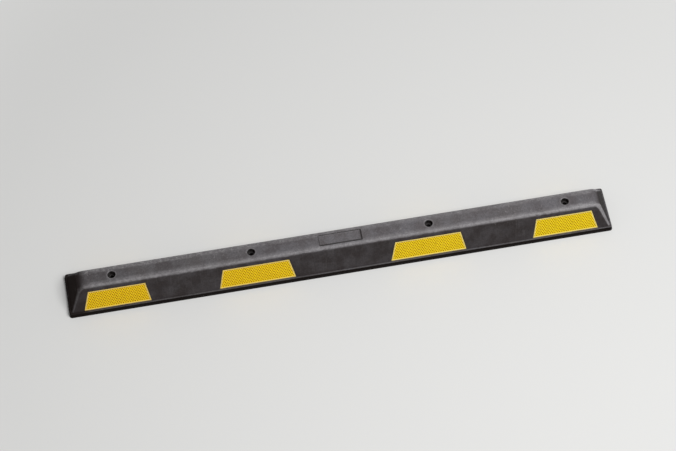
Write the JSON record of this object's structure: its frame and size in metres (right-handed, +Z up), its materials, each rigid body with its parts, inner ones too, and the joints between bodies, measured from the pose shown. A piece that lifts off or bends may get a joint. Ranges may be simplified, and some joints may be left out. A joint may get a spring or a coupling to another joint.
{
  "type": "parking wheel stop",
  "caption": "Long low rubber wheel stop with sloped sides and hipped ends, recessed bolt holes through the top and yellow reflectors let into both slopes.",
  "frame": {"origin": "middle of the base, on the ground", "axes": "+X along the stop, -Y towards the front face, +Z up"},
  "size_m": [1.65, 0.142, 0.1],
  "materials": {
    "rubber": "moulded crumb rubber, matt, with paler scuffs along the ridges",
    "reflector": "yellow retroreflective sheet with a honeycomb of fine ribs inside a smooth paler rim"
  },
  "bodies": {
    "root": {"rubber_body": "rubber", "front_reflector_1": "reflector", "front_reflector_2": "reflector", "front_reflector_3": "reflector", "front_reflector_4": "reflector", "rear_reflector_1": "reflector", "rear_reflector_2": "reflector", "rear_reflector_3": "reflector", "rear_reflector_4": "reflector"}
  },
  "joints": []
}
